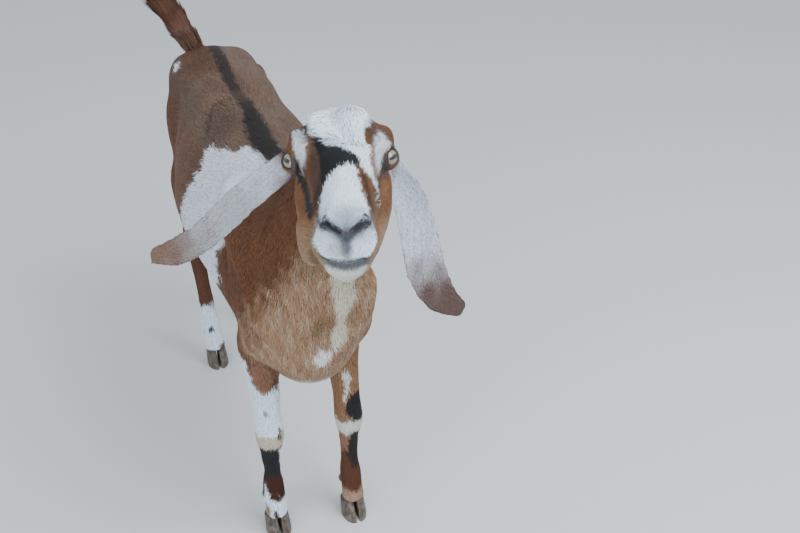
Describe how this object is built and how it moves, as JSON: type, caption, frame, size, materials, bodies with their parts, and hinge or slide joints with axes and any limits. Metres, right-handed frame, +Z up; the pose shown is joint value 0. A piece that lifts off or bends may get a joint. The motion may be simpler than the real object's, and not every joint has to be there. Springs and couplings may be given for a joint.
{
  "type": "goat",
  "caption": "Anglo-Nubian doe goat, a still life-size model: she stands on all fours with her head turned a little to her right, long hanging ears, a Roman nose and a short raised tail.",
  "frame": {"origin": "the ground under the middle of the whole animal's bounding box", "axes": "+Z up, +X to the doe's left, -Y ahead of her (her rump is towards +Y)"},
  "size_m": [0.406, 1.1606, 1.0019],
  "materials": {
    "coat": "short chestnut coat with white, cream and black markings, a little longer on the poll, breast and tail",
    "horn": "dull ridged hoof horn",
    "eye": "wet, glossy, pale amber with a dark level slit pupil"
  },
  "bodies": {
    "root": {"head": "coat", "neck": "coat", "trunk": "coat", "tail": "coat", "foreleg_left": "coat", "foreleg_right": "coat", "hindleg_left": "coat", "hindleg_right": "coat", "ear_left": "coat", "ear_right": "coat", "eye_left": "eye", "eye_right": "eye", "hoof_fore_left_inner": "horn", "hoof_fore_left_outer": "horn", "hoof_fore_right_inner": "horn", "hoof_fore_right_outer": "horn", "hoof_hind_left_inner": "horn", "hoof_hind_left_outer": "horn", "hoof_hind_right_inner": "horn", "hoof_hind_right_outer": "horn", "dewclaw_fore_left_inner": "horn", "dewclaw_fore_left_outer": "horn", "dewclaw_fore_right_inner": "horn", "dewclaw_fore_right_outer": "horn", "dewclaw_hind_left_inner": "horn", "dewclaw_hind_left_outer": "horn", "dewclaw_hind_right_inner": "horn", "dewclaw_hind_right_outer": "horn"}
  },
  "joints": []
}
